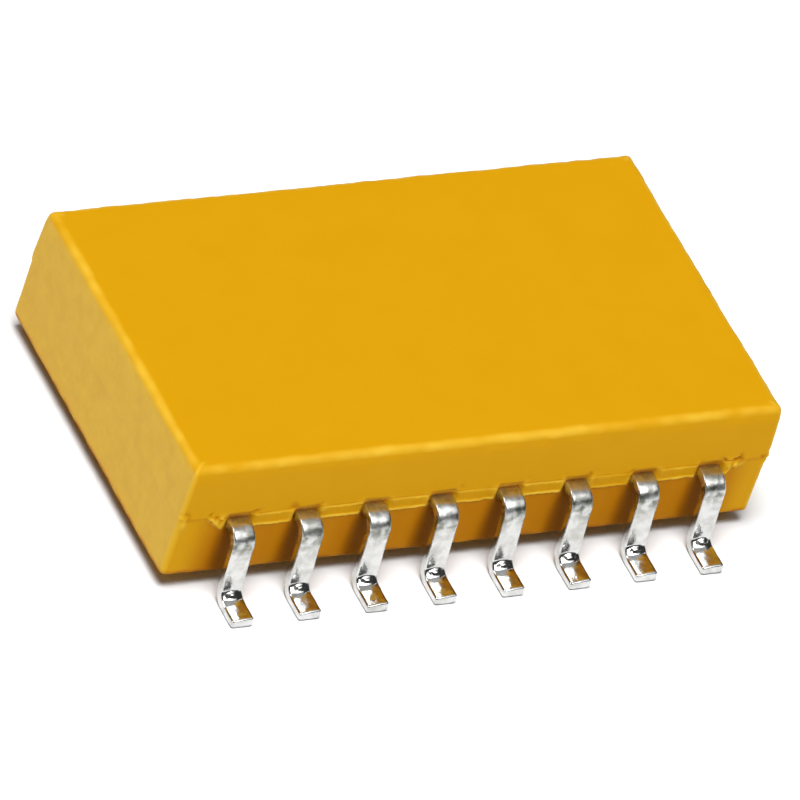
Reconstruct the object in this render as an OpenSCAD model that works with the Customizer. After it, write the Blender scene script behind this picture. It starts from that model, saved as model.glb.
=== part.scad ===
// Small-outline surface-mount chip with gull-wing leads: a thick-film resistor
// network on an alumina substrate, moulded into an epoxy body.
// Millimetres. The origin is the middle of the footprint on the board surface,
// +X runs along the body and +Z points up. Lead 1 is at the -X end of the -Y side,
// and the numbers run anticlockwise seen from above.

/* [Body] */
// Distance from the middle of the last lead to the end of the body
body_end = 1.145; // [1.1:0.005:1.3]
// Width of the body at the parting line
body_wid = 6.46; // [6.3:0.02:7]
// Gap between the board and the underside of the body
standoff = 0.28; // [0.2:0.01:0.4]
// Depth of the moulding below the leads
depth_below = 1.02; // [0.9:0.01:1.1]
// Depth of the moulding above the leads
depth_above = 1.16; // [0.9:0.02:1.4]
// Draft of the walls above the parting line, in degrees
upper_draft = 2; // [0:0.5:4]
// Draft of the walls below the parting line, in degrees
lower_draft = 0.5; // [0:0.5:4]
// Height of the parting line above the leads
parting_rise = 0.08; // [0.02:0.01:0.12]
// How far the wall below the parting line is set in
lower_step = 0.01; // [0:0.01:0.04]
// Radius of the edges round the top face
top_edge_r = 0.14; // [0.05:0.01:0.2]
// Radius of the edges round the underside
bottom_edge_r = 0.05; // [0.02:0.01:0.1]
// Radius of the upright corners above the parting line
upper_corner_r = 0.1; // [0.05:0.01:0.3]
// Radius of the upright corners below the parting line
lower_corner_r = 0.12; // [0.05:0.01:0.4]

/* [Moulding flash] */
// How far the ledge of flash stands out between the leads
flash_out = 0.05; // [0.03:0.01:0.08]
// How far the ledge runs past the outer leads
flash_run = 0.3; // [0.1:0.05:0.4]
// Gap between the ledge and the sides of a lead
flash_gap = 0.05; // [0.02:0.01:0.1]

/* [Ejector marks] */
// Diameter of the two ejector-pin marks in the underside
ejector_dia = 1.2; // [0.8:0.1:1.6]
// Depth of the ejector-pin marks
ejector_depth = 0.03; // [0.01:0.01:0.05]
// Distance from an end of the body to the middle of a mark
ejector_inset = 2.1; // [1.6:0.1:2.2]

/* [Leads] */
// Number of leads on each long side
per_side = 8; // [4:1:8]
// Distance from one lead to the next
pitch = 1.27; // [1.2:0.01:1.3]
// Width of a lead outside the body
lead_wid = 0.41; // [0.35:0.01:0.45]
// Thickness of the lead strip
lead_thk = 0.2; // [0.15:0.01:0.25]
// Distance from the body wall to the outer face of a leg at its shoulder
lead_reach = 0.42; // [0.36:0.01:0.5]
// Lean of the leg away from upright, in degrees
leg_lean = 4; // [0:1:8]
// Inside radius of the shoulder and the ankle
bend_r = 0.13; // [0.08:0.01:0.15]
// Length of the flat foot from the end of the ankle bend to the toe
foot_len = 0.45; // [0.2:0.05:0.6]
// Chamfer on the corners of the toe
toe_chamfer = 0.04; // [0.01:0.01:0.06]

/* [Substrate] */
// Epoxy past each end of the alumina substrate
end_cover = 0.44; // [0.3:0.01:0.5]
// Epoxy past each long side of the substrate
side_cover = 0.73; // [0.5:0.01:0.8]
// Thickness of the alumina substrate
substrate_thk = 0.6; // [0.4:0.05:0.65]

/* [Pads and solder] */
// Length of a pad, across the substrate
pad_len = 0.8; // [0.6:0.05:1]
// Width of a pad, along the substrate
pad_wid = 0.8; // [0.7:0.05:0.9]
// Thickness of the printed pads
pad_thk = 0.02; // [0.01:0.01:0.03]
// Distance from a pad to the edge of the substrate
pad_edge = 0.1; // [0.05:0.05:0.2]
// Rim of bare pad round the land of a lead
land_inset = 0.06; // [0.04:0.01:0.1]
// Thickness of the solder under a land
solder_thk = 0.06; // [0.04:0.01:0.08]

/* [Resistors] */
// Width of a printed resistor element
resistor_wid = 0.7; // [0.5:0.05:0.8]
// Thickness of a printed resistor element
resistor_thk = 0.02; // [0.01:0.01:0.03]
// Width of the laser cut that trims an element
trim_wid = 0.05; // [0.03:0.01:0.08]
// How deep the trim cut goes into the side of an element
trim_depth = 0.35; // [0.2:0.05:0.4]
// How far the trim cut turns along the element
trim_run = 0.8; // [0.3:0.1:1]
// Thickness of the glass over the elements
glaze_thk = 0.03; // [0.02:0.01:0.04]
// How far the glass reaches past the elements, over the pads
glaze_lap = 0.04; // [0.02:0.01:0.05]

/* [Hidden] */

lead_count = 2 * per_side;
// Flat steps that make up a rounded edge, and a bend of a lead
edge_steps = 6;
bend_steps = 10;
// Chamfer on the inner corners of a land
land_chamfer = 0.1;
// How far a cutting shape runs past what it cuts
over = 0.5;

lead_bottom = standoff + depth_below;
lead_top = lead_bottom + lead_thk;
parting_z = lead_top + parting_rise;
top_z = lead_top + depth_above;

body_len = (per_side - 1) * pitch + 2 * body_end;
wall_y = body_wid / 2;
lower_len = body_len - 2 * lower_step;
lower_wid = body_wid - 2 * lower_step;

substrate_len = body_len - 2 * end_cover;
substrate_wid = body_wid - 2 * side_cover;
pad_outer = substrate_wid / 2 - pad_edge;
pad_inner = pad_outer - pad_len;
pad_top = lead_bottom - solder_thk;
substrate_top = pad_top - pad_thk;
land_wid = pad_wid - 2 * land_inset;
land_inner = pad_inner + land_inset;
land_outer = substrate_wid / 2;
glaze_outer = pad_inner + glaze_lap;

// Turn of each bend, its radius along the middle of the strip, and the leg between them
turn = 90 - leg_lean;
mid_r = bend_r + lead_thk / 2;
leg_len = (lead_bottom - 2 * mid_r * (1 - cos(turn))) / sin(turn);
shoulder_y = wall_y + lead_reach - (mid_r + lead_thk / 2) * cos(leg_lean);
ankle_y = shoulder_y + mid_r * sin(turn) + leg_len * cos(turn);
foot_y = ankle_y + mid_r * sin(turn);
toe_y = foot_y + foot_len;

// Leads 1 to per_side run along +X, and the rest run back along the other side
function lead_x(k) = (k > per_side ? 1 : -1) * ((per_side - 1) / 2 - (k - 1) % per_side) * pitch;

function two_digits(k) = k < 10 ? str("0", k) : str(k);
function lead_name(k) = str("lead_", two_digits(k));
function solder_name(k) = str("solder_", two_digits(k));
function resistor_name(k) = str("resistor_", k);

epoxy = "#e8a90b";
tin = "#d6d6d2";
alumina = "#f2efe6";
palladium_silver = "#b9b7ae";
solder_grey = "#c4c6c8";
resistor_ink = "#1d1b1a";
overglaze_green = "#2f5d46";

// Points on an arc about (cx, cy), from one angle to another
function arc(cx, cy, r, from, to, steps) =
    [for (i = [0:steps]) let (a = from + (to - from) * i / steps) [cx + r * cos(a), cy + r * sin(a)]];

function flipped(points) = [for (i = [len(points) - 1:-1:0]) points[i]];
function mirrored(points) = [for (p = flipped(points)) [-p[0], p[1]]];

// Outline of a wall section: half wide at its foot, drawn in by the draft as it rises,
// and rounded by r at the top
function drafted_half(half, rise, draft, r) =
    let (
        cy = rise - r,
        cx = half - cy * tan(draft) - r / cos(draft)
    )
    concat([[half, 0]], arc(cx, cy, r, draft, 90, edge_steps));

function drafted_section(half, rise, draft, r) =
    let (right = drafted_half(half, rise, draft, r)) concat(right, mirrored(right));

function rounded_plan(len_x, len_y, r) =
    let (x = len_x / 2 - r, y = len_y / 2 - r)
    concat(
        arc(x, y, r, 0, 90, edge_steps),
        arc(-x, y, r, 90, 180, edge_steps),
        arc(-x, -y, r, 180, 270, edge_steps),
        arc(x, -y, r, 270, 360, edge_steps)
    );

// One half of the moulding, standing on its widest plane
module mould_half(len_x, len_y, rise, draft, edge_r, corner_r) {
    intersection() {
        rotate([90, 0, 0])
            linear_extrude(len_y, center = true)
                polygon(drafted_section(len_x / 2, rise, draft, edge_r));
        rotate([90, 0, 90])
            linear_extrude(len_x, center = true)
                polygon(drafted_section(len_y / 2, rise, draft, edge_r));
        linear_extrude(rise)
            polygon(rounded_plan(len_x, len_y, corner_r));
    }
}

// Puts children at the place of lead k, turned so that +Y points away from the body
module at_lead(k) {
    translate([lead_x(k), 0, 0])
        rotate([0, 0, k > per_side ? 0 : 180])
            children();
}

// Section of the ledge of flash, with a sloping top
module flash_section() {
    polygon([
        [wall_y - over, lead_bottom],
        [wall_y + flash_out, lead_bottom],
        [wall_y + flash_out, parting_z - flash_out],
        [wall_y, parting_z],
        [wall_y - over, parting_z]
    ]);
}

// Ledge along one side, broken away beside each lead
module flash_ledge() {
    ledge_len = (per_side - 1) * pitch + lead_wid + 2 * flash_run;
    notch_wid = lead_wid + 2 * flash_gap;
    difference() {
        rotate([90, 0, 90])
            linear_extrude(ledge_len, center = true)
                flash_section();
        for (k = [1:per_side])
            translate([lead_x(k) - notch_wid / 2, wall_y - lower_step - over / 2, lead_top - over])
                cube([notch_wid, over, over]);
    }
}

module moulding() {
    translate([0, 0, parting_z])
        mould_half(body_len, body_wid, top_z - parting_z, upper_draft, top_edge_r, upper_corner_r);
    translate([0, 0, parting_z])
        mirror([0, 0, 1])
            mould_half(
                lower_len, lower_wid, parting_z - standoff, lower_draft, bottom_edge_r, lower_corner_r
            );
    flash_ledge();
    rotate([0, 0, 180])
        flash_ledge();
}

module body() {
    color(epoxy)
        difference() {
            moulding();
            for (x = [-1, 1] * (body_len / 2 - ejector_inset))
                translate([x, 0, standoff - over])
                    cylinder(d = ejector_dia, h = over + ejector_depth, $fn = 48);
            substrate();
            terminations();
            overglaze();
            for (k = [1:per_side])
                resistor(k);
            for (k = [1:lead_count]) {
                solder(k);
                lead(k);
            }
        }
}

// One face of the bent strip from the land to the toe, as [y, z] points at a distance
// above (or, when negative, below) the middle of the strip
function strip_face(offset) =
    concat(
        [[land_inner, lead_bottom + lead_thk / 2 + offset]],
        arc(shoulder_y, lead_bottom + lead_thk / 2 - mid_r, mid_r + offset, 90, leg_lean, bend_steps),
        arc(foot_y, lead_thk / 2 + mid_r, mid_r - offset, 180 + leg_lean, 270, bend_steps),
        [[toe_y, lead_thk / 2 + offset]]
    );

module lead(k) {
    color(tin)
        at_lead(k) {
            intersection() {
                rotate([90, 0, 90])
                    linear_extrude(land_wid, center = true)
                        polygon(concat(strip_face(lead_thk / 2), flipped(strip_face(-lead_thk / 2))));
                linear_extrude(top_z)
                    lead_plan();
            }
        }
}

// Plan of a lead: a wide land with chamfered corners, then a narrow strip to the toe
module lead_plan() {
    land = land_wid / 2;
    strip = lead_wid / 2;
    half = [
        [land - land_chamfer, land_inner],
        [land, land_inner + land_chamfer],
        [land, land_outer - land_chamfer],
        [strip, land_outer],
        [strip, toe_y - toe_chamfer],
        [strip - toe_chamfer, toe_y]
    ];
    polygon(concat(half, mirrored(half)));
}

module substrate() {
    color(alumina)
        translate([0, 0, substrate_top - substrate_thk / 2])
            cube([substrate_len, substrate_wid, substrate_thk], center = true);
}

// The printed pads, one under each land
module terminations() {
    color(palladium_silver)
        for (k = [1:lead_count])
            at_lead(k)
                translate([-pad_wid / 2, pad_inner, substrate_top])
                    cube([pad_wid, pad_len, pad_thk]);
}

// Solder between a pad and a land, spreading to the edges of the pad
module solder(k) {
    color(solder_grey)
        at_lead(k)
            translate([0, pad_outer, pad_top])
                rotate([90, 0, 0])
                    linear_extrude(pad_outer - land_inner - land_chamfer)
                        polygon([
                            [-pad_wid / 2, 0],
                            [pad_wid / 2, 0],
                            [land_wid / 2, solder_thk],
                            [-land_wid / 2, solder_thk]
                        ]);
}

// A printed element from the pad of lead k across to the pad opposite, with its L-shaped trim cut
module resistor(k) {
    color(resistor_ink)
        at_lead(k)
            translate([0, 0, substrate_top])
                linear_extrude(resistor_thk)
                    difference() {
                        square([resistor_wid, 2 * pad_inner], center = true);
                        translate([resistor_wid / 2 - trim_depth, 0])
                            square([trim_depth + over, trim_wid]);
                        translate([resistor_wid / 2 - trim_depth, 0])
                            square([trim_wid, trim_run]);
                    }
}

// Glass fired over the elements and the ends of their pads
module overglaze() {
    glaze_len = (per_side - 1) * pitch + resistor_wid + 2 * glaze_lap;
    color(overglaze_green)
        difference() {
            translate([-glaze_len / 2, -glaze_outer, substrate_top])
                cube([glaze_len, 2 * glaze_outer, resistor_thk + glaze_thk]);
            for (k = [1:per_side])
                resistor(k);
            terminations();
        }
}

body();
substrate();
terminations();
overglaze();
for (k = [1:per_side])
    resistor(k);
for (k = [1:lead_count])
    solder(k);
for (k = [1:lead_count])
    lead(k);
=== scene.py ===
"""Looks of a small moulded chip with gull-wing leads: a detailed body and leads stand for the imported
CAD solids, the pieces sealed inside get their materials, and a pale studio surrounds them."""

import math

import bmesh
import bpy
from mathutils import Matrix, Vector, noise


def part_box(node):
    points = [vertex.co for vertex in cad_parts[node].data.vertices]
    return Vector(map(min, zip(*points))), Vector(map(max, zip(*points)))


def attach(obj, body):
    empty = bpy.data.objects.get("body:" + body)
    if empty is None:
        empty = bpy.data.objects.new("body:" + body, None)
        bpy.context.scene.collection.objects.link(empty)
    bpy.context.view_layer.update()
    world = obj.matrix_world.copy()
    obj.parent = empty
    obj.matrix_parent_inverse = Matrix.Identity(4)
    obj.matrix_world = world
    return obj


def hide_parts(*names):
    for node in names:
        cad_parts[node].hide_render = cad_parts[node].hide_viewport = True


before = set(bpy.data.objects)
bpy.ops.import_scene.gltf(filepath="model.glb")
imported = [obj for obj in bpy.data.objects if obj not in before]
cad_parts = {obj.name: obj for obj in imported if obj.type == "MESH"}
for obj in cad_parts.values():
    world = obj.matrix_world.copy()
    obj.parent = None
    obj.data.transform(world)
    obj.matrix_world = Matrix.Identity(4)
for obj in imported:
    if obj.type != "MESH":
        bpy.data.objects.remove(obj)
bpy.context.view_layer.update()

MM = 0.001
LEADS = sorted(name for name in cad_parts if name.startswith("lead_"))
SOLDERS = sorted(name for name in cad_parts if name.startswith("solder_"))
RESISTORS = sorted(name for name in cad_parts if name.startswith("resistor_"))

# ---------------------------------------------------------------- sizes, in millimetres

body_low, body_high = (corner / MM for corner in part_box("body"))
lead_low, lead_high = (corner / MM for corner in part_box(LEADS[0]))

FLASH_OUT = 0.05
LOWER_STEP = 0.01
UPPER_DRAFT = math.radians(2)
LOWER_DRAFT = math.radians(0.5)
PARTING_RISE = 0.08
TOP_EDGE_R = 0.14
BOTTOM_EDGE_R = 0.05
UPPER_CORNER_R = 0.1
LOWER_CORNER_R = 0.12

HALF_LEN = body_high.x
HALF_WID = body_high.y - FLASH_OUT
TOP_Z = body_high.z
UNDERSIDE_Z = body_low.z

LEAD_THK = 0.2
LEAD_WID = 0.41
LEAD_REACH = 0.42
LEG_LEAN = math.radians(4)
BEND_R = 0.13
LAND_OUTER = 2.5
LAND_TAPER = 0.1
LAND_WID = lead_high.x - lead_low.x
LAND_INNER = -lead_high.y
TOE_Y = -lead_low.y
LEAD_TOP = lead_high.z
LEAD_BOTTOM = LEAD_TOP - LEAD_THK
PARTING_Z = LEAD_TOP + PARTING_RISE

LEDGE_RUN = 0.3
LEDGE_GAP = 0.05
POCKET_DEPTH = 0.035
PIT_DEPTH = 0.04
LUMP_OUT = 0.035
EJECTOR_R = 0.6
EJECTOR_DEPTH = 0.03
EJECTOR_INSET = 2.1

# ---------------------------------------------------------------- numbers, noise and meshes

NOISE_ORIGIN = Vector((17.3, 5.1, 9.7))


def smooth(low, high, value):
    """0 below low, 1 above high, and a smooth step between."""
    t = min(max((value - low) / (high - low), 0), 1)
    return t * t * (3 - 2 * t)


def mix(a, b, t):
    """What lies a share t of the way from a to b."""
    return a + (b - a) * t


def steps(low, high, count):
    """Even steps from low to high, without low itself."""
    return [mix(low, high, i / count) for i in range(1, count + 1)]


def bell(distance, width):
    """1 where the distance is 0, falling away smoothly on both sides of it."""
    return math.exp(-((distance / width) ** 2))


def wobble(x, y, z, scale):
    """Smooth noise from about -1 to 1, with a wavelength of about 1 / scale mm."""
    return noise.noise(Vector((x, y, z)) * scale + NOISE_ORIGIN)


def layered(x, y, z, layers):
    """Noise of several scales at once; each layer is its height and its scale."""
    total = 0.0
    for height, scale in layers:
        total += height * wobble(x, y, z, scale)
    return total


def lead_place(name):
    """The x of a lead, and -1 or 1 for the side that it is on."""
    low, high = (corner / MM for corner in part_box(name))
    return (low.x + high.x) / 2, (1 if low.y > 0 else -1)


PLACES = {name: lead_place(name) for name in LEADS}
SIDE_X = {side: sorted(x for x, s in PLACES.values() if s == side) for side in (-1, 1)}


def to_nearest(x, side):
    """How far x is from the middle of the nearest lead."""
    return min(abs(x - lead_x) for lead_x in SIDE_X[side])


def past_last(x, side, low, high):
    """0 up to low past the middle of the last lead, 1 from high past it, and smooth between."""
    last = SIDE_X[side][-1]
    return smooth(last + low, last + high, abs(x))


def mesh_object(name, bm):
    """A smooth-shaded object made from a bmesh in millimetres."""
    bmesh.ops.recalc_face_normals(bm, faces=bm.faces)
    bmesh.ops.scale(bm, vec=(MM, MM, MM), verts=bm.verts)
    mesh = bpy.data.meshes.new(name)
    bm.to_mesh(mesh)
    bm.free()
    for polygon in mesh.polygons:
        polygon.use_smooth = True
    piece = bpy.data.objects.new(name, mesh)
    bpy.context.scene.collection.objects.link(piece)
    return piece


def bridge(bm, first, second):
    """Faces between two rings of as many points."""
    for i, vert in enumerate(first):
        j = (i + 1) % len(first)
        bm.faces.new((vert, first[j], second[j], second[i]))


def ring_edges(bm, ring):
    return [bm.edges.get((vert, ring[(i + 1) % len(ring)])) for i, vert in enumerate(ring)]


# ---------------------------------------------------------------- camera

CAMERA_AZIMUTH = math.radians(37.24)
CAMERA_ELEVATION = math.radians(39.84)
CAMERA_ROLL = math.radians(-19.89)
CAMERA_DISTANCE = 255.17 * MM
CAMERA_TARGET = Vector((0.387, 0.116, 0.392)) * MM
CAMERA_LENS = 684.3


def add_camera():
    forward = Vector((
        math.sin(CAMERA_AZIMUTH) * math.cos(CAMERA_ELEVATION),
        math.cos(CAMERA_AZIMUTH) * math.cos(CAMERA_ELEVATION),
        -math.sin(CAMERA_ELEVATION),
    ))
    level_right = forward.cross(Vector((0, 0, 1))).normalized()
    level_up = level_right.cross(forward)
    up = level_up * math.cos(CAMERA_ROLL) + level_right * math.sin(CAMERA_ROLL)
    right = forward.cross(up)
    data = bpy.data.cameras.new("camera")
    data.lens = CAMERA_LENS
    data.sensor_width = 36
    data.clip_start = 0.01
    data.clip_end = 100
    camera = bpy.data.objects.new("camera", data)
    turn = Matrix((right, up, -forward)).transposed().to_4x4()
    camera.matrix_world = Matrix.Translation(CAMERA_TARGET - forward * CAMERA_DISTANCE) @ turn
    bpy.context.scene.collection.objects.link(camera)
    bpy.context.scene.camera = camera


# ---------------------------------------------------------------- materials


def linear(red, green, blue):
    """Linear colour from sRGB values of 0 to 255."""
    def channel(value):
        value /= 255
        return value / 12.92 if value <= 0.04045 else ((value + 0.055) / 1.055) ** 2.4
    return (channel(red), channel(green), channel(blue), 1)


class Nodes:
    """Short names for building a material's node tree."""

    def __init__(self, name):
        self.material = bpy.data.materials.new(name)
        self.material.use_nodes = True
        self.tree = self.material.node_tree
        self.shader = self.tree.nodes["Principled BSDF"]

    def add(self, kind, **values):
        node = self.tree.nodes.new(kind)
        for key, value in values.items():
            setattr(node, key, value)
        return node

    def link(self, source, target):
        self.tree.links.new(source, target)

    def place(self):
        """Object coordinates in millimetres."""
        coordinates = self.add("ShaderNodeTexCoord")
        mapping = self.add("ShaderNodeMapping")
        mapping.inputs["Scale"].default_value = (1 / MM, 1 / MM, 1 / MM)
        self.link(coordinates.outputs["Object"], mapping.inputs["Vector"])
        return mapping.outputs["Vector"]

    def height(self, place):
        separate = self.add("ShaderNodeSeparateXYZ")
        self.link(place, separate.inputs["Vector"])
        return separate.outputs["Z"]

    def noise(self, place, scale, detail=2.0, roughness=0.5):
        node = self.add("ShaderNodeTexNoise")
        node.inputs["Scale"].default_value = scale
        node.inputs["Detail"].default_value = detail
        node.inputs["Roughness"].default_value = roughness
        self.link(place, node.inputs["Vector"])
        return node.outputs["Fac"]

    def attribute(self, name):
        """A share that each vertex of the mesh carries."""
        return self.add("ShaderNodeAttribute", attribute_name=name).outputs["Fac"]

    def span(self, source, low, high, to_low, to_high):
        """source, taken from the range low to high into the range to_low to to_high."""
        node = self.add("ShaderNodeMapRange")
        node.inputs["From Min"].default_value = low
        node.inputs["From Max"].default_value = high
        node.inputs["To Min"].default_value = to_low
        node.inputs["To Max"].default_value = to_high
        self.link(source, node.inputs["Value"])
        return node.outputs["Result"]

    def combine(self, operation, first, second):
        node = self.add("ShaderNodeMath", operation=operation)
        self.link(first, node.inputs[0])
        self.link(second, node.inputs[1])
        return node.outputs[0]

    def blend(self, factor, first, second):
        """Colour blend by factor; first and second are colours or sockets."""
        node = self.add("ShaderNodeMix", data_type="RGBA")
        self.link(factor, node.inputs["Factor"])
        for socket, value in ((node.inputs[6], first), (node.inputs[7], second)):
            if isinstance(value, tuple):
                socket.default_value = value
            else:
                self.link(value, socket)
        return node.outputs[2]

    def bump(self, height, depth, normal=None):
        """Bump whose full height is depth millimetres."""
        node = self.add("ShaderNodeBump")
        node.inputs["Strength"].default_value = 1
        node.inputs["Distance"].default_value = depth * MM
        self.link(height, node.inputs["Height"])
        if normal:
            self.link(normal, node.inputs["Normal"])
        return node.outputs["Normal"]


def epoxy_material():
    """Mustard moulding compound: satin and faintly mottled. Its paler end faces are a painted sheen,
    the orange and brown that the vertices carry are painted shade, and the bright yellow that they
    carry is painted highlight, partly the paler thin flash."""
    m = Nodes("mould_compound")
    place = m.place()
    cloud = m.noise(place, 1.3, 3)
    grain = m.noise(place, 14, 4, 0.6)
    mottle = m.noise(place, 3.5, 4, 0.55)
    body = m.blend(m.span(cloud, 0.3, 0.7, 0, 1), linear(231, 168, 10), linear(233, 170, 12))
    pale = m.blend(m.span(mottle, 0.35, 0.7, 0, 1), linear(233, 188, 70), linear(226, 179, 67))
    # The paler end faces are a painted sheen.
    faced = m.blend(m.attribute("ends"), body, pale)
    # Orange, then brown: painted shade where the vertices carry it.
    shade = m.attribute("painted_shade")
    orange = m.blend(m.span(shade, 0.0, 0.5, 0, 1), faced, linear(202, 126, 3))
    brown = m.blend(m.span(shade, 0.5, 1.0, 0, 1), orange, linear(104, 58, 14))
    # Bright yellow: painted highlight on edges, corners and ledge lips, partly paler thin flash.
    colour = m.blend(m.attribute("flash"), brown, linear(255, 209, 66))
    m.link(colour, m.shader.inputs["Base Color"])
    m.shader.inputs["Specular IOR Level"].default_value = 0.06
    m.link(m.span(grain, 0.3, 0.7, 0.42, 0.54), m.shader.inputs["Roughness"])
    coarse = m.bump(grain, 0.002)
    m.link(m.bump(m.noise(place, 60, 3), 0.0008, coarse), m.shader.inputs["Normal"])
    return m.material


def tin_material():
    """Bright tin plating, uneven as dipped solder is, with darker patches round the shoulder that are
    a painted dark reflection.
    """
    m = Nodes("tin_plating")
    place = m.place()
    height = m.height(place)
    patch = m.noise(place, 4.5, 3, 0.6)
    blotch = m.noise(place, 5.5, 2, 0.5)
    rising = m.span(height, 0.85, 1.25, 0, 1)
    fading = m.span(height, 1.36, 1.48, 1, 0.3)
    band = m.combine("MULTIPLY", rising, fading)
    # A darker band of blotches round the shoulder: a painted dark reflection.
    painted_reflection = m.combine("MULTIPLY", band, m.span(blotch, 0.42, 0.62, 0, 1))
    clean = m.blend(m.span(patch, 0.4, 0.7, 0, 1), linear(216, 217, 216), linear(186, 186, 182))
    m.link(m.blend(painted_reflection, clean, linear(112, 116, 104)), m.shader.inputs["Base Color"])
    m.shader.inputs["Metallic"].default_value = 1
    patchy = m.span(patch, 0.35, 0.75, 0.1, 0.24)
    dull = m.combine("ADD", patchy, m.span(height, 0.85, 1.3, 0, 0.16))
    m.link(dull, m.shader.inputs["Roughness"])
    coarse = m.bump(m.noise(place, 5, 2), 0.006)
    m.link(m.bump(m.noise(place, 25, 3), 0.0015, coarse), m.shader.inputs["Normal"])
    return m.material


def plain_material(name, light, dark, scale, rough, metallic=0.0):
    """A speckled material, between two sRGB colours, for the pieces sealed inside the moulding."""
    m = Nodes(name)
    speckle = m.noise(m.place(), scale, 3)
    colour = m.blend(m.span(speckle, 0.35, 0.65, 0, 1), linear(*light), linear(*dark))
    m.link(colour, m.shader.inputs["Base Color"])
    m.shader.inputs["Metallic"].default_value = metallic
    m.link(m.span(speckle, 0.3, 0.7, rough - 0.08, rough + 0.08), m.shader.inputs["Roughness"])
    m.link(m.bump(speckle, 0.002), m.shader.inputs["Normal"])
    return m.material


# ---------------------------------------------------------------- moulded body

LONG_STEPS = 420
SHORT_STEPS = 110
CORNER_STEPS = 10
EDGE_STEPS = 8
WALL_STEPS = 16
FLAT_SHARE = 0.985


def ring_points(half_x, half_y, corner):
    """Points round a rounded rectangle as (x, y, outward x, outward y)."""
    run_x, run_y = half_x - corner, half_y - corner
    points = []
    for quarter, count in enumerate((LONG_STEPS, SHORT_STEPS, LONG_STEPS, SHORT_STEPS)):
        facing = math.radians(-90 + 90 * quarter)
        out = Vector((math.cos(facing), math.sin(facing)))
        along = Vector((-out.y, out.x))
        reach, run = (half_y, run_x) if quarter % 2 == 0 else (half_x, run_y)
        for i in range(count):
            p = out * reach + along * run * (2 * i / count - 1)
            points.append((p.x, p.y, out.x, out.y))
        centre = out * (reach - corner) + along * run
        for i in range(CORNER_STEPS):
            angle = facing + math.radians(90) * i / CORNER_STEPS
            n = Vector((math.cos(angle), math.sin(angle)))
            p = centre + n * corner
            points.append((p.x, p.y, n.x, n.y))
    return points


# Where things start and are in full past the last lead: the ledge's loose lower edge, its crumbled
# flash and that flash's end, and the clean resin beyond
LOOSE_FROM = (0.2, 0.35)
CRUMBLED_FROM = (0.2, 0.3)
CRUMBLED_TO = (0.45, 0.75)
CLEAN_FROM = (0.3, 0.9)

LOOSENESS = 3.5
LEDGE_FADES_BEFORE = 0.22
LEDGE_FADES_AFTER = 0.12
LEDGE_CLOSED = 0.02
RISE_AT_LEAD = 0.02
RISE_WID = 0.17


def ledge_at(x, side):
    """The ledge of flash at x: its lower and upper edge, how far it stands out below and above the
    leads' top face, and how much of a ledge there is."""
    seed = 40 * side
    end = SIDE_X[side][-1] + LEAD_WID / 2 + LEDGE_RUN
    there = 1 - smooth(end - LEDGE_FADES_BEFORE, end + LEDGE_FADES_AFTER, abs(x))
    nearest = to_nearest(x, side)
    beside = nearest - LEAD_WID / 2 - LEDGE_GAP * (1 + 0.6 * wobble(x, seed, 3, 2))
    loose = 1 + LOOSENESS * past_last(x, side, *LOOSE_FROM)
    low = LEAD_BOTTOM + loose * (0.012 * wobble(x, seed, 0, 3) + 0.01 * wobble(x, seed, 1, 11))
    top = PARTING_Z + 0.018 * wobble(x, seed, 5, 1.1) + 0.012 * wobble(x, seed, 6, 7)
    top += RISE_AT_LEAD * bell(nearest, RISE_WID)
    even = FLASH_OUT * (0.72 + 0.28 * wobble(x, seed, 8, 5) + 0.2 * wobble(x, seed, 9, 17))
    lumpy = FLASH_OUT * min(0.75 + 0.8 * wobble(x, seed, 4, 12), 1)
    out = mix(even, lumpy, past_last(x, side, *CRUMBLED_FROM))
    below = out * smooth(-0.01, 0.035, beside)
    above = 0.7 * out * (0.55 + 0.45 * smooth(0, 0.05, beside))
    return (
        mix(PARTING_Z - LEDGE_CLOSED, low, there),
        mix(PARTING_Z, top, there),
        below * there,
        above * there,
        there,
    )


def edge_highlight(angle):
    """How bright the painted highlight on the rounded edge is, most at its middle."""
    return 0.5 * math.sin(2 * angle)


# How much painted shade the resin below the ledge gets between the leads and beside them.
BROWN_BETWEEN = 0.42
BROWN_BESIDE = 0.3
BESIDE_LEAD = (0.15, 0.42)


def lead_shade(x, side):
    """Painted shade on the resin below the ledge: a little between the leads, and more beside each,
    where the leads shade the wall.
    """
    between = 1 - past_last(x, side, *CLEAN_FROM)
    beside = 1 - smooth(*BESIDE_LEAD, to_nearest(x, side))
    return between * (BROWN_BETWEEN + BROWN_BESIDE * beside + 0.06 * wobble(x, side, 0, 4))


POCKET_EDGE = (0.46 * LEAD_WID, 0.62 * LEAD_WID)
POCKET_BELOW = 0.12
POCKET_ABOVE = 0.06
POCKET_FADE = 0.1


def pocket(x, z, side):
    """How deep the resin has drawn back round the root of the nearest lead."""
    nearest = to_nearest(x, side) + 0.04 * wobble(x, z, side, 6)
    across = 1 - smooth(*POCKET_EDGE, nearest)
    top = PARTING_Z + POCKET_ABOVE + 0.03 * wobble(x, 31 * side, 0, 2)
    up = smooth(LEAD_BOTTOM - POCKET_BELOW, LEAD_BOTTOM, z) * (1 - smooth(top - POCKET_FADE, top, z))
    return POCKET_DEPTH * across * up


CRUMBS_BESIDE = 0.27
CRUMBS_WID = 0.08
CRUMBS_AT_END = (0.25, 0.1)
PIT_RISE = 0.04
PIT_SPREAD = 0.09
LUMP_DROP = 0.1
LUMP_SPREAD = 0.11


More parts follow.
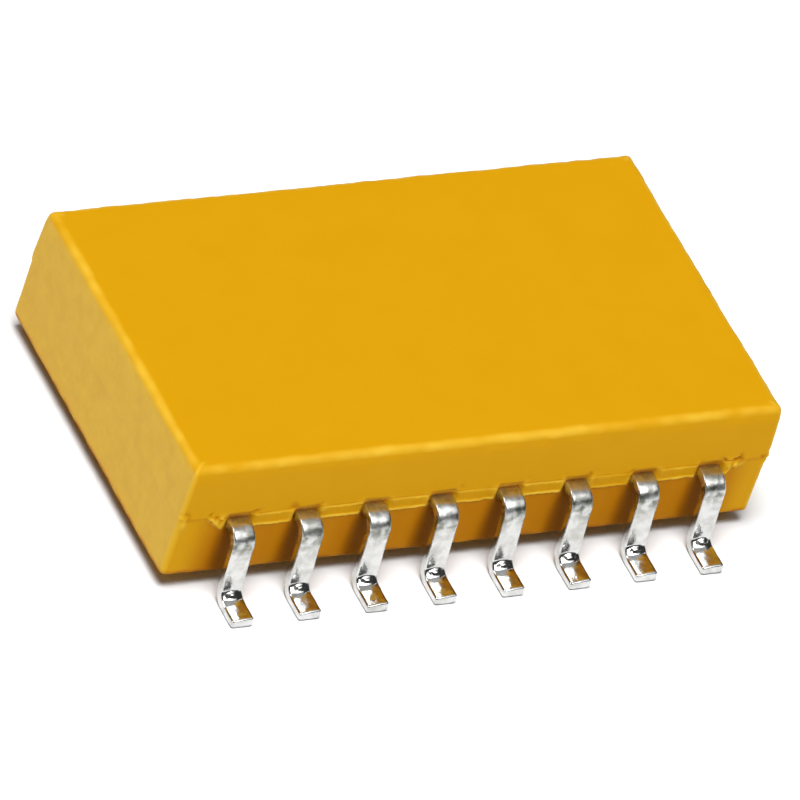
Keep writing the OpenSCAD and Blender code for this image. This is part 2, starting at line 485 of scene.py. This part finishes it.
def crumbs(x, z, side):
    """How pitted the resin is and how much flash has crumbled on to it round the parting line,
    most of it beyond the last lead and at the body's ends."""
    beyond = past_last(x, side, *CRUMBLED_FROM) * (1 - past_last(x, side, *CRUMBLED_TO))
    beside = bell(to_nearest(x, side) - CRUMBS_BESIDE, CRUMBS_WID)
    at_end = smooth(HALF_LEN - CRUMBS_AT_END[0], HALF_LEN - CRUMBS_AT_END[1], abs(x))
    where = max(beyond, 0.5 * beside, 0.8 * at_end)
    grit = wobble(x, z, 23 * side, 7) + 0.4 * wobble(x, z, 29 * side, 16)
    pit = bell(z - PARTING_Z - PIT_RISE, PIT_SPREAD) * smooth(0.04, 0.28, grit)
    lump = bell(z - PARTING_Z + LUMP_DROP, LUMP_SPREAD) * smooth(0.0, 0.2, -grit)
    return pit * where, lump * where


# Noise on the body, as the height and the scale of each layer, and how far back it sets the wall
SWELL = ((0.004, 0.6), (0.0025, 2.5))
SWELL_BACK = 0.008
WORN_EDGE = ((0.016, 0.9), (0.018, 3.1), (0.01, 7))
WORN_BACK = 0.018
RAGGED_FOOT = ((0.01, 5), (0.008, 13))
RAGGED_BACK = 0.01


def unevenness(x, y, z):
    """How far the moulded wall strays outwards from its true form; it is mostly a little inwards."""
    edge = smooth(TOP_Z - 2 * TOP_EDGE_R, TOP_Z - 0.4 * TOP_EDGE_R, z)
    foot = 1 - smooth(UNDERSIDE_Z, UNDERSIDE_Z + 2 * BOTTOM_EDGE_R, z)
    worn = layered(x, y, z, WORN_EDGE) - WORN_BACK
    ragged = layered(x, y, z, RAGGED_FOOT) - RAGGED_BACK
    return layered(x, y, z, SWELL) - SWELL_BACK + edge * worn + foot * ragged


# Rows up the ledge: share of its height, how far out below the leads' top, how far out above it,
# how bright it is (painted highlight on its lips, partly paler thin flash), and how dark it is
# (painted shade under it and in the crease above it)
LEDGE_ROWS = (
    (0.0, 0.2, 0.0, 0.0, 0.6),
    (0.03, 1.0, 0.0, 0.9, 0.0),
    (0.1, 1.1, 0.0, 1.0, 0.0),
    (0.18, 0.8, 0.0, 0.6, 0.0),
    (0.24, 0.6, 0.0, 0.0, 0.2),
    (0.45, 0.55, 0.0, 0.0, 0.1),
    (0.7, 0.6, 0.0, 0.0, 0.0),
    (0.78, 0.4, 0.5, 0.1, 0.0),
    (0.84, 0.0, 0.95, 0.6, 0.0),
    (0.9, 0.0, 1.0, 1.0, 0.0),
    (0.96, 0.0, 0.5, 0.2, 0.3),
    (1.0, 0.0, 0.0, 0.0, 0.5),
)


def ledge_row(height, below, above, bright, brown):
    """One of the rows up the ledge, as body_rows wants it."""
    def row(x, side):
        low, top, out_below, out_above, there = ledge_at(x, side)
        out = out_below * below + out_above * above
        # Painted shade under the ledge and in the crease above it.
        shade_share = brown * max(there, 0.6) * (0.6 + 0.5 * wobble(x, side, height, 3))
        return mix(low, top, height), out, bright * min(1.3 * out / FLASH_OUT, 1), shade_share
    return row


def body_rows():
    """Rows of the body from the underside to the top. Each is the ring that it follows, and a function
    from a ring point's x and side to its height, reach outwards, brightness (painted highlight, partly
    paler flash) and browning (painted shade)."""
    foot = UNDERSIDE_Z + BOTTOM_EDGE_R
    brow = TOP_Z - TOP_EDGE_R

    def lower(z, inset=0.0):
        shrink = (PARTING_Z - z) * math.tan(LOWER_DRAFT) + inset
        return HALF_LEN - LOWER_STEP - shrink, HALF_WID - LOWER_STEP - shrink, LOWER_CORNER_R

    def upper(z, inset=0.0):
        shrink = (z - PARTING_Z) * math.tan(UPPER_DRAFT) + inset
        return HALF_LEN - shrink, HALF_WID - shrink, UPPER_CORNER_R

    def bottom_edge(z, bright):
        return lambda x, side: (z, 0, bright, lead_shade(x, side))

    def lower_wall(share):
        return lambda x, side: (mix(foot, ledge_at(x, side)[0], share), 0, 0, lead_shade(x, side))

    def upper_wall(share):
        return lambda x, side: (mix(ledge_at(x, side)[1], brow, share), 0, 0, 0)

    def top_edge(z, bright):
        return lambda x, side: (z, 0, bright, 0)

    angles = [math.radians(90) * i / EDGE_STEPS for i in range(EDGE_STEPS + 1)]
    rows = []
    for angle in angles:
        z = UNDERSIDE_Z + BOTTOM_EDGE_R * (1 - math.cos(angle))
        ring = lower(z, BOTTOM_EDGE_R * (1 - math.sin(angle)))
        # The bottom edge gets a weaker painted highlight, and the painted shade beside the leads.
        rows.append((ring, bottom_edge(z, 0.6 * edge_highlight(angle))))
    for i in range(1, WALL_STEPS):
        share = i / WALL_STEPS
        rows.append((lower(mix(foot, LEAD_BOTTOM, share)), lower_wall(share)))
    for values in LEDGE_ROWS:
        height = values[0]
        ring = upper(PARTING_Z) if height == 1 else lower(mix(LEAD_BOTTOM, PARTING_Z, height))
        rows.append((ring, ledge_row(*values)))
    for i in range(1, 2 * WALL_STEPS):
        share = (i / (2 * WALL_STEPS)) ** 1.5
        rows.append((upper(mix(PARTING_Z, brow, share)), upper_wall(share)))
    for angle in angles:
        z = brow + TOP_EDGE_R * math.sin(angle)
        ring = upper(brow, TOP_EDGE_R * (1 - math.cos(angle)))
        rows.append((ring, top_edge(z, edge_highlight(angle))))
    return rows


# How far the wall must face the end for the painted sheen of the end faces to begin and be in full.
END_FACING = (0.7, 0.95)
# Painted shade at the foot of the wall: in full up to the first height above the underside, and gone
# above the second.
FOOT_SHADE_RISE = (0.02, 0.1)


def body_point(x, y, out_x, out_y, row):
    """Where the body's surface is at a ring point, and its shares of painted highlight (partly paler
    flash), of painted sheen on the end faces, and of painted shade."""
    side = 1 if y > 0 else -1
    z, out, bright, brown = row(x, side)
    drawn_back = pocket(x, z, side)
    pit, lump = crumbs(x, z, side)
    out = min(out - drawn_back - PIT_DEPTH * pit + LUMP_OUT * lump, FLASH_OUT) * abs(out_y)
    out += unevenness(x, y, z)
    # Painted highlight, uneven along its length, on rounded edges, corners, ledge lips and crumbs of
    # flash.
    highlight_wobble = 0.9 + 0.8 * wobble(x, y, 4, 1.4) + 0.6 * wobble(x, y, 5, 4)
    flash = max(bright * highlight_wobble, lump * abs(out_y), 0.8 * abs(out_x * out_y), 0)
    # Painted sheen on the end faces, fading out before the top edge.
    below_top = 1 - smooth(TOP_Z - TOP_EDGE_R, TOP_Z - 0.6 * TOP_EDGE_R, z)
    ends = smooth(*END_FACING, abs(out_x)) * below_top
    # Painted shade beside the leads, in the pockets round their roots and in the pits.
    shade_share = max(brown, 0.6 * drawn_back / POCKET_DEPTH, 0.85 * pit) * abs(out_y)
    # Painted shade along the foot of the wall, with a ragged upper edge.
    ragged_z = z + 0.04 * wobble(x, y, 3, 4)
    foot_shade = 1 - smooth(UNDERSIDE_Z + FOOT_SHADE_RISE[0], UNDERSIDE_Z + FOOT_SHADE_RISE[1], ragged_z)
    painted_shade = max(shade_share * (1 - 0.8 * lump), 0.8 * foot_shade)
    return (x + out_x * out, y + out_y * out, z), (flash, ends, painted_shade)


def add_body():
    bm = bmesh.new()
    # Shares each vertex carries: painted highlight (partly paler flash), painted sheen on the end
    # faces, and painted shade.
    layers = [bm.verts.layers.float.new(name) for name in ("flash", "ends", "painted_shade")]
    rings = []
    for plan, row in body_rows():
        ring = []
        for ring_point in ring_points(*plan):
            place, shares = body_point(*ring_point, row)
            vert = bm.verts.new(place)
            for layer, share in zip(layers, shares):
                vert[layer] = share
            ring.append(vert)
        rings.append(ring)
    for lower_ring, upper_ring in zip(rings, rings[1:]):
        bridge(bm, lower_ring, upper_ring)
    close_top(bm, rings[-1])
    close_underside(bm, rings[0])
    return mesh_object("moulded_body", bm)


def flat_band(bm, ring):
    """A ring a little inside another, so that the rounded edge outside it ends crisply."""
    return [bm.verts.new((v.co.x * FLAT_SHARE, v.co.y * FLAT_SHARE, v.co.z)) for v in ring]


def close_top(bm, ring):
    """The flat top: one narrow band, then one face."""
    band = flat_band(bm, ring)
    bridge(bm, ring, band)
    bm.faces.new(band)


EJECTOR_POINTS = 64
# Radius and depth of each rim, with one close on either side of the wall so that it shades crisply
EJECTOR_RIMS = (
    (EJECTOR_R + 0.012, 0),
    (EJECTOR_R, 0),
    (EJECTOR_R - 0.004, EJECTOR_DEPTH),
    (EJECTOR_R - 0.016, EJECTOR_DEPTH),
)


def close_underside(bm, ring):
    """The flat underside: one narrow band, then a face with its two shallow ejector-pin marks."""
    band = flat_band(bm, ring)
    bridge(bm, band, ring)
    edges = ring_edges(bm, band)
    angles = [math.tau * i / EJECTOR_POINTS for i in range(EJECTOR_POINTS)]
    for side in (-1, 1):
        centre = side * (HALF_LEN - EJECTOR_INSET)
        rims = []
        for radius, depth in EJECTOR_RIMS:
            z = UNDERSIDE_Z + depth
            rims.append([
                bm.verts.new((centre + radius * math.cos(a), radius * math.sin(a), z))
                for a in angles
            ])
        for outer, inner in zip(rims, rims[1:]):
            bridge(bm, outer, inner)
        bm.faces.new(rims[-1])
        edges += ring_edges(bm, rims[0])
    bmesh.ops.triangle_fill(bm, use_beauty=True, use_dissolve=False, edges=edges)


# ---------------------------------------------------------------- leads

STRIP_CORNER = 0.035
STRIP_CROWN = 0.008
STRIP_THINNED = 0.008
ANKLE_FILLET = 0.066
ANKLE_POOL = Vector((HALF_WID + LEAD_REACH + 0.06, LEAD_THK / 2 + 0.08))
POOL_RADIUS = 0.155
POOL_WID = 0.125
FOOT_ROLL = 0.035
FOOT_STARTS = (0.08, 0.3)
SIDEWAYS_LEAN = 0.022
ROOT_RUN = 0.1
TOP_FACE = 0.08
TOE_SETBACK = 0.03
SHOULDER_SPREAD = 0.3
ANKLE_Z = 0.2
ANKLE_SPREAD = 0.2
CORNER_POINTS = 6
FACE_STEPS = 14
SIDE_STEPS = 4
ARM_STEPS = 20
BEND_STEPS = 24
LEG_STEPS = 28
FOOT_STEPS = 20
MID_R = BEND_R + LEAD_THK / 2

# The chamfered toe's rings: how far past the last station, and how much smaller all round
TOE_RINGS = ((0.012, 0.012), (0.024, 0.028))
TOE_LOWERED = 0.002


def strip_stations():
    """Stations down the middle of the bent strip: (reach, height, angle of travel below level)."""
    turn = math.radians(90) - LEG_LEAN
    arm_z, foot_z = LEAD_TOP - LEAD_THK / 2, LEAD_THK / 2
    shoulder = HALF_WID + LEAD_REACH - (MID_R + LEAD_THK / 2) * math.cos(LEG_LEAN)
    reaches = [LAND_INNER + s for s in (0, 0.02, 0.05, LAND_TAPER)]
    reaches += steps(LAND_INNER + LAND_TAPER, LAND_OUTER - LAND_TAPER, 6)
    reaches += steps(LAND_OUTER - LAND_TAPER, LAND_OUTER, 3)
    reaches += steps(LAND_OUTER, shoulder, ARM_STEPS)[:-1]
    stations = [(reach, arm_z, 0) for reach in reaches]
    for i in range(BEND_STEPS + 1):
        a = turn * i / BEND_STEPS
        stations.append((shoulder + MID_R * math.sin(a), arm_z - MID_R * (1 - math.cos(a)), a))
    leg_top, leg_top_z, _ = stations[-1]
    drop = leg_top_z - foot_z - MID_R * (1 - math.cos(turn))
    leg_foot = leg_top + drop * math.tan(LEG_LEAN)
    for i in range(1, LEG_STEPS):
        share = i / LEG_STEPS
        stations.append((mix(leg_top, leg_foot, share), leg_top_z - drop * share, turn))
    ankle = leg_foot + MID_R * math.sin(turn)
    for i in range(BEND_STEPS + 1):
        a = turn * (1 - i / BEND_STEPS)
        stations.append((ankle - MID_R * math.sin(a), foot_z + MID_R * (1 - math.cos(a)), a))
    stations += [(reach, foot_z, 0) for reach in steps(ankle, TOE_Y - TOE_SETBACK, FOOT_STEPS)]
    return stations


def strip_section(half_wid, half_thk):
    """Points round the strip's section: rounded corners, and broad faces that thin a little towards
    their edges."""
    r = min(STRIP_CORNER, half_thk * 0.9)
    flat_wid, flat_thk = half_wid - r, half_thk - r
    points = []
    for quarter, count in enumerate((FACE_STEPS, SIDE_STEPS, FACE_STEPS, SIDE_STEPS)):
        sign_x = 1 if quarter in (0, 3) else -1
        sign_z = 1 if quarter in (0, 1) else -1
        for i in range(CORNER_POINTS):
            a = math.radians(90) * (quarter + i / (CORNER_POINTS - 1))
            points.append((sign_x * flat_wid + r * math.cos(a), sign_z * flat_thk + r * math.sin(a)))
        for i in range(1, count):
            across = 1 - 2 * i / count
            if quarter % 2 == 0:
                points.append((sign_x * flat_wid * across, sign_z * half_thk))
            else:
                points.append((sign_x * half_wid, sign_z * flat_thk * across))
    crown = STRIP_CROWN * half_thk / (LEAD_THK / 2)
    return [(x, z * (1 - crown / half_thk * (x / half_wid) ** 2)) for x, z in points]


def strip_half_width(reach, z):
    """Half the strip's width: its land inside the body is wider, with tapered ends."""
    if z < LEAD_BOTTOM:
        return LEAD_WID / 2
    land = LAND_WID / 2
    if reach < LAND_INNER + LAND_TAPER:
        return land - LAND_TAPER + (reach - LAND_INNER)
    return mix(land, LEAD_WID / 2, smooth(LAND_OUTER - LAND_TAPER, LAND_OUTER, reach))


def pooled(across, reach, z):
    """How much thicker the plating that pooled in the ankle makes the strip there."""
    away = (Vector((reach, z)) - ANKLE_POOL).length
    return ANKLE_FILLET * math.exp(-((away / POOL_RADIUS) ** 2) - (across / POOL_WID) ** 2)


def rolled(across, reach):
    """How far the foot's top face falls away towards the edge that the shears rolled over."""
    leg = HALF_WID + LEAD_REACH
    foot = smooth(leg + FOOT_STARTS[0], leg + FOOT_STARTS[1], reach)
    return FOOT_ROLL * foot * min(max(0.5 - across / LEAD_WID, 0), 1) ** 1.5


def add_lead(name):
    x0, side = PLACES[name]
    seed = 3.7 * LEADS.index(name)
    lean = SIDEWAYS_LEAN * wobble(seed, 0, 0, 1.9)
    bm = bmesh.new()
    stations = strip_stations()
    rings = []
    for reach, z, angle in stations:
        middle = Vector((reach, z))
        over = Vector((math.sin(angle), math.cos(angle)))
        outside = smooth(HALF_WID, HALF_WID + ROOT_RUN, reach)
        bent = bell(z - LEAD_TOP, SHOULDER_SPREAD) + bell(z - ANKLE_Z, ANKLE_SPREAD)
        dents = ((0.004, 3), (0.006 * bent, 6), (0.002, 14))
        ring = []
        for across, up in strip_section(strip_half_width(reach, z), LEAD_THK / 2):
            p = middle + over * up
            bulge = layered(across + seed, p.x, p.y, dents)
            size = 1 + (bulge - STRIP_THINNED) * outside / (LEAD_THK / 2)
            on_top = smooth(0, TOP_FACE, up)
            lifted = pooled(across, reach, z) * on_top
            lowered = rolled(across, reach) * on_top
            p = middle + over * (up * size + lifted - lowered)
            x = x0 + lean * (LEAD_BOTTOM - z) * outside - side * across * (1 + 0.3 * (size - 1))
            ring.append(bm.verts.new((x, side * p.x, max(p.y, 0.0))))
        rings.append(ring)
    reach, z, _ = stations[-1]
    for forward, smaller in TOE_RINGS:
        ring = []
        for across, up in strip_section(LEAD_WID / 2 - smaller, LEAD_THK / 2 - smaller):
            lowered = rolled(across, reach) * smooth(0, TOP_FACE, up)
            x = x0 + lean * (LEAD_BOTTOM - z) - side * across
            height = max(z + up - lowered - TOE_LOWERED, 0)
            ring.append(bm.verts.new((x, side * (reach + forward), height)))
        rings.append(ring)
    for first, second in zip(rings, rings[1:]):
        bridge(bm, first, second)
    bm.faces.new(rings[0])
    bm.faces.new(rings[-1])
    return mesh_object("plated_" + name, bm)


# ---------------------------------------------------------------- studio

FLOOR_SIZE = 4.0
FLOOR_SEEN = (0.9, 0.91, 0.92, 1)
FLOOR_BOUNCED = (0.54, 0.54, 0.55, 1)
LAMP_DISTANCE = 0.6

# Brightness of the studio by the sine of the elevation: a white horizon, a dark room and a bright
# ceiling
STUDIO_LEVELS = ((0.0, 1.0), (0.05, 1.0), (0.12, 0.04), (0.74, 0.04), (0.86, 0.48))


def light_path_share(m):
    """1 for what the camera sees directly, in a reflection or through glass, and 0 otherwise."""
    path = m.add("ShaderNodeLightPath")
    seen = path.outputs["Is Camera Ray"]
    for name in ("Is Glossy Ray", "Is Transmission Ray"):
        seen = m.combine("MAXIMUM", seen, path.outputs[name])
    return seen


def add_floor():
    """A plain pale floor, which throws less light back than it shows."""
    bm = bmesh.new()
    bmesh.ops.create_grid(bm, x_segments=1, y_segments=1, size=FLOOR_SIZE / MM / 2)
    floor = mesh_object("floor", bm)
    m = Nodes("floor")
    colour = m.blend(light_path_share(m), FLOOR_BOUNCED, FLOOR_SEEN)
    m.tree.nodes.remove(m.shader)
    diffuse = m.add("ShaderNodeBsdfDiffuse")
    m.link(colour, diffuse.inputs["Color"])
    m.link(diffuse.outputs["BSDF"], m.tree.nodes["Material Output"].inputs["Surface"])
    floor.data.materials.append(m.material)
    return floor


def add_world():
    world = bpy.data.worlds.new("studio")
    bpy.context.scene.world = world
    world.use_nodes = True
    tree = world.node_tree
    coordinates = tree.nodes.new("ShaderNodeTexCoord")
    separate = tree.nodes.new("ShaderNodeSeparateXYZ")
    ramp = tree.nodes.new("ShaderNodeValToRGB")
    tree.links.new(coordinates.outputs["Generated"], separate.inputs["Vector"])
    tree.links.new(separate.outputs["Z"], ramp.inputs["Fac"])
    tree.links.new(ramp.outputs["Color"], tree.nodes["Background"].inputs["Color"])
    elements = ramp.color_ramp.elements
    while len(elements) < len(STUDIO_LEVELS):
        elements.new(0.5)
    for element, (position, level) in zip(elements, STUDIO_LEVELS):
        element.position = position
        element.color = (level, level, level, 1)


def add_lamp(name, azimuth, elevation, size, level, lights):
    """A square soft lamp aimed at the object, lighting a surface that faces it to a given level.

    It lights what the collection lights holds, or all but that where it is set to leave it out."""
    data = bpy.data.lights.new(name, "AREA")
    data.shape = "SQUARE"
    data.size = size
    data.energy = level * (math.pi * LAMP_DISTANCE) ** 2
    lamp = bpy.data.objects.new(name, data)
    a, e = math.radians(azimuth), math.radians(elevation)
    direction = Vector((math.sin(a) * math.cos(e), -math.cos(a) * math.cos(e), math.sin(e)))
    lamp.location = direction * LAMP_DISTANCE
    lamp.rotation_mode = "QUATERNION"
    lamp.rotation_quaternion = direction.to_track_quat("Z", "Y")
    bpy.context.scene.collection.objects.link(lamp)
    lamp.light_linking.receiver_collection = lights


def floor_share(name, floor, state):
    """A collection that makes a lamp light the floor alone (INCLUDE), or all but it (EXCLUDE)."""
    collection = bpy.data.collections.new(name)
    collection.objects.link(floor)
    collection.collection_objects[0].light_linking.link_state = state
    return collection


# ---------------------------------------------------------------- the object

bpy.context.scene.view_settings.view_transform = "Standard"
add_camera()

EPOXY = epoxy_material()
TIN = tin_material()
INNER = {
    "substrate": plain_material("alumina", (243, 240, 230), (236, 231, 218), 20, 0.6),
    "terminations": plain_material("conductor", (190, 187, 178), (168, 164, 152), 30, 0.4, 1.0),
    "overglaze": plain_material("overglaze", (47, 93, 70), (38, 80, 60), 12, 0.18),
    "solder": plain_material("solder", (200, 201, 202), (178, 180, 180), 16, 0.35, 1.0),
    "resistor": plain_material("resistor_ink", (34, 31, 30), (22, 20, 19), 40, 0.7),
}


def dress(node, material):
    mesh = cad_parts[node].data
    mesh.materials.clear()
    mesh.materials.append(material)


body = add_body()
body.data.materials.append(EPOXY)
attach(body, "root")
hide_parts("body")

for name in LEADS:
    lead = add_lead(name)
    lead.data.materials.append(TIN)
    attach(lead, "root")
    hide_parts(name)

for name in ("substrate", "terminations", "overglaze"):
    dress(name, INNER[name])
for name in SOLDERS:
    dress(name, INNER["solder"])
for name in RESISTORS:
    dress(name, INNER["resistor"])

floor = add_floor()
add_world()
ALL_BUT_FLOOR = floor_share("all_but_floor", floor, "EXCLUDE")
FLOOR_ALONE = floor_share("floor_alone", floor, "INCLUDE")
add_lamp("front", azimuth=5, elevation=54, size=0.3, level=0.45, lights=ALL_BUT_FLOOR)
add_lamp("left", azimuth=-100, elevation=45, size=0.3, level=0.52, lights=ALL_BUT_FLOOR)
add_lamp("window", azimuth=35, elevation=51, size=0.35, level=0.14, lights=ALL_BUT_FLOOR)
add_lamp("overhead", azimuth=-60, elevation=79, size=0.3, level=1.24, lights=FLOOR_ALONE)
